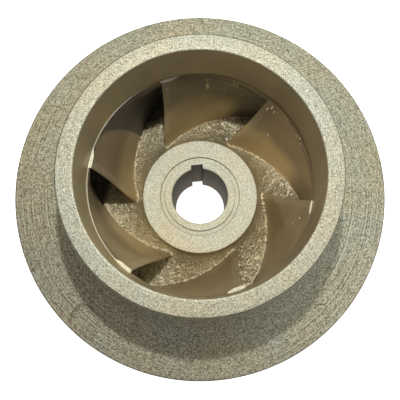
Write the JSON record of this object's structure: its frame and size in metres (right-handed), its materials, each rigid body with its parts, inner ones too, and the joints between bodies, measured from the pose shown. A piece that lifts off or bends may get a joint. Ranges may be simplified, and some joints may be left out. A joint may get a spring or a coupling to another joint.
{
  "type": "pump impeller",
  "caption": "Closed centrifugal pump impeller in cast bronze: backward-curved vanes between a flat front flange with a cylindrical inlet neck and a back plate, keyed to a shaft.",
  "frame": {"origin": "centre of the rear hub face, the lowest face, on the shaft axis", "axes": "+Z along the shaft axis towards the inlet; the keyway points 6 degrees from +Y towards -X"},
  "size_m": [0.1334, 0.1334, 0.0784],
  "materials": {
    "machined_bronze": "machined, then blasted to a pale speckled satin",
    "cast_bronze": "blasted sand casting, khaki with a fine bright grain",
    "vane_bronze": "smooth brown cast surface"
  },
  "bodies": {
    "root": {"hub": "machined_bronze", "inlet_neck": "machined_bronze", "front_shroud": "cast_bronze", "back_shroud": "cast_bronze", "hub_flare": "cast_bronze", "vane_1": "vane_bronze", "vane_2": "vane_bronze", "vane_3": "vane_bronze", "vane_4": "vane_bronze", "vane_5": "vane_bronze", "vane_6": "vane_bronze"}
  },
  "joints": []
}
